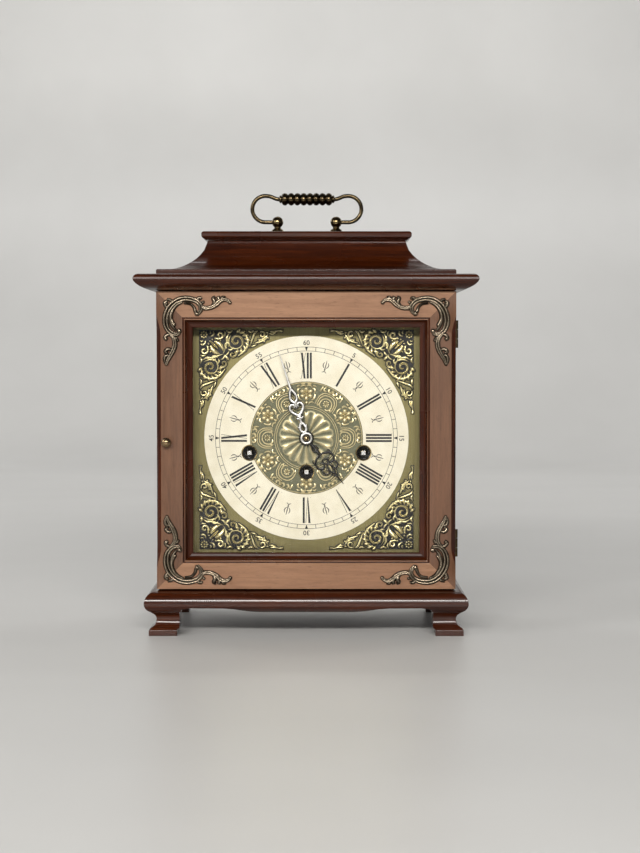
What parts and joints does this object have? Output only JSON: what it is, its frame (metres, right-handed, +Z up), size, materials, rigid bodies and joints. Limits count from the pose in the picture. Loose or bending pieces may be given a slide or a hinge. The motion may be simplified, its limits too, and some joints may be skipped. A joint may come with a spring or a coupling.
{
  "type": "bracket clock",
  "caption": "Wooden bracket clock with a hollow bell top, bail handle, glazed front door, square brass dial with a round numbered ring, winding arbors and bracket feet.",
  "frame": {"origin": "on the table, under the middle of the overall width and depth", "axes": "+Z up, the dial faces -Y, +X to the right of someone facing the dial"},
  "size_m": [0.272, 0.167, 0.3575],
  "materials": {
    "mahogany": "satin to gloss lacquered mahogany",
    "antique_brass": "dark antiqued casting with rubbed high spots",
    "polished_brass": "lacquered brass",
    "dial_brass": "satin olive brass",
    "ivory_enamel": "matt ivory with black printing",
    "silvered": "silvered, satin",
    "black_lacquer": "gloss black",
    "steel": "bright drawn steel",
    "glass": "clear flat glass"
  },
  "bodies": {
    "case": {"base_moulding": "mahogany", "foot_front_left": "mahogany", "foot_front_right": "mahogany", "foot_rear_left": "mahogany", "foot_rear_right": "mahogany", "side_panel_left": "mahogany", "side_panel_right": "mahogany", "cornice": "mahogany", "roof_cove": "mahogany", "top_plate": "mahogany", "dial_mask": "mahogany", "handle_post_left": "antique_brass", "handle_post_right": "antique_brass", "dial_plate": "dial_brass", "chapter_ring": "ivory_enamel", "centre_disc": "dial_brass", "spandrel_lower_left": "polished_brass", "spandrel_lower_right": "polished_brass", "spandrel_upper_left": "polished_brass", "spandrel_upper_right": "polished_brass", "winding_grommet_time": "polished_brass", "winding_grommet_strike": "polished_brass", "winding_grommet_chime": "polished_brass", "movement_front_plate": "polished_brass", "movement_back_plate": "polished_brass", "chime_block": "steel", "hinge_lower_case_leaf": "antique_brass", "hinge_upper_case_leaf": "antique_brass"},
    "front_door": {"door_rail_bottom": "mahogany", "door_rail_top": "mahogany", "door_stile_left": "mahogany", "door_stile_right": "mahogany", "door_glass": "glass", "door_knob": "polished_brass", "hinge_lower_door_leaf": "antique_brass", "hinge_upper_door_leaf": "antique_brass", "corner_mount_lower_left": "antique_brass", "corner_mount_lower_right": "antique_brass", "corner_mount_upper_left": "antique_brass", "corner_mount_upper_right": "antique_brass"},
    "back_door": {"back_door": "mahogany"},
    "handle": {"handle_bail": "antique_brass"},
    "minute_works": {"centre_wheel": "steel", "minute_hand": "silvered", "hand_nut": "polished_brass"},
    "hour_works": {"hour_wheel": "polished_brass", "hour_hand": "black_lacquer"},
    "minute_wheel": {"minute_wheel": "polished_brass"},
    "intermediate_wheel": {"intermediate_wheel": "polished_brass"},
    "balance": {"balance_wheel": "polished_brass"},
    "barrel_time": {"barrel_time": "polished_brass"},
    "winding_arbor_time": {"winding_arbor_time": "steel"},
    "barrel_strike": {"barrel_strike": "polished_brass"},
    "winding_arbor_strike": {"winding_arbor_strike": "steel"},
    "barrel_chime": {"barrel_chime": "polished_brass"},
    "winding_arbor_chime": {"winding_arbor_chime": "steel"},
    "hammer_1": {"chime_hammer_1": "polished_brass"},
    "hammer_2": {"chime_hammer_2": "polished_brass"},
    "hammer_3": {"chime_hammer_3": "polished_brass"},
    "hammer_4": {"chime_hammer_4": "polished_brass"}
  },
  "joints": [
    {"name": "front_door_hinge", "type": "hinge", "parent": "case", "child": "front_door", "pos_m": [0.1202, -0.04825, 0.155], "axis": [0, 0, 1], "range_deg": [0, 120]},
    {"name": "back_door_hinge", "type": "hinge", "parent": "case", "child": "back_door", "pos_m": [-0.104, 0.0795, 0.155], "axis": [0, 0, 1], "range_deg": [0, 95]},
    {"name": "handle_swing", "type": "hinge", "parent": "case", "child": "handle", "pos_m": [0, 0.0085, 0.3333], "axis": [1, 0, 0], "range_deg": [-100, 100]},
    {"name": "minute_spin", "type": "hinge", "parent": "case", "child": "minute_works", "pos_m": [0, -0.03, 0.1563], "axis": [0, 1, 0], "continuous": true},
    {"name": "hour_spin", "type": "hinge", "parent": "case", "child": "hour_works", "pos_m": [0, -0.03, 0.1563], "axis": [0, 1, 0], "continuous": true},
    {"name": "minute_wheel_spin", "type": "hinge", "parent": "case", "child": "minute_wheel", "pos_m": [-0.01039, -0.03, 0.1623], "axis": [0, 1, 0], "continuous": true},
    {"name": "intermediate_spin", "type": "hinge", "parent": "case", "child": "intermediate_wheel", "pos_m": [0.01256, -0.005, 0.14925], "axis": [0, 1, 0], "continuous": true},
    {"name": "barrel_time_spin", "type": "hinge", "parent": "case", "child": "barrel_time", "pos_m": [0, -0.005, 0.1288], "axis": [0, 1, 0], "continuous": true},
    {"name": "barrel_strike_spin", "type": "hinge", "parent": "case", "child": "barrel_strike", "pos_m": [-0.046, -0.005, 0.1443], "axis": [0, 1, 0], "continuous": true},
    {"name": "barrel_chime_spin", "type": "hinge", "parent": "case", "child": "barrel_chime", "pos_m": [0.046, -0.005, 0.1443], "axis": [0, 1, 0], "continuous": true},
    {"name": "winding_time_turn", "type": "hinge", "parent": "case", "child": "winding_arbor_time", "pos_m": [0, -0.005, 0.1288], "axis": [0, 1, 0], "continuous": true},
    {"name": "winding_strike_turn", "type": "hinge", "parent": "case", "child": "winding_arbor_strike", "pos_m": [-0.046, -0.005, 0.1443], "axis": [0, 1, 0], "continuous": true},
    {"name": "winding_chime_turn", "type": "hinge", "parent": "case", "child": "winding_arbor_chime", "pos_m": [0.046, -0.005, 0.1443], "axis": [0, 1, 0], "continuous": true},
    {"name": "balance_swing", "type": "hinge", "parent": "case", "child": "balance", "pos_m": [0, 0.0275, 0.1863], "axis": [0, 0, 1], "range_deg": [-220, 220]},
    {"name": "hammer_1_lift", "type": "hinge", "parent": "case", "child": "hammer_1", "pos_m": [0.02, 0.024, 0.09], "axis": [1, 0, 0], "range_deg": [0, 14]},
    {"name": "hammer_2_lift", "type": "hinge", "parent": "case", "child": "hammer_2", "pos_m": [0.03, 0.024, 0.09], "axis": [1, 0, 0], "range_deg": [0, 14]},
    {"name": "hammer_3_lift", "type": "hinge", "parent": "case", "child": "hammer_3", "pos_m": [0.04, 0.024, 0.09], "axis": [1, 0, 0], "range_deg": [0, 14]},
    {"name": "hammer_4_lift", "type": "hinge", "parent": "case", "child": "hammer_4", "pos_m": [0.05, 0.024, 0.09], "axis": [1, 0, 0], "range_deg": [0, 14]}
  ],
  "couplings": [
    {"joint": "hour_spin", "follows": "minute_spin", "ratio": 0.083333},
    {"joint": "minute_wheel_spin", "follows": "minute_spin", "ratio": -0.33333},
    {"joint": "intermediate_spin", "follows": "minute_spin", "ratio": -0.2},
    {"joint": "barrel_time_spin", "follows": "minute_spin", "ratio": 0.028571}
  ]
}
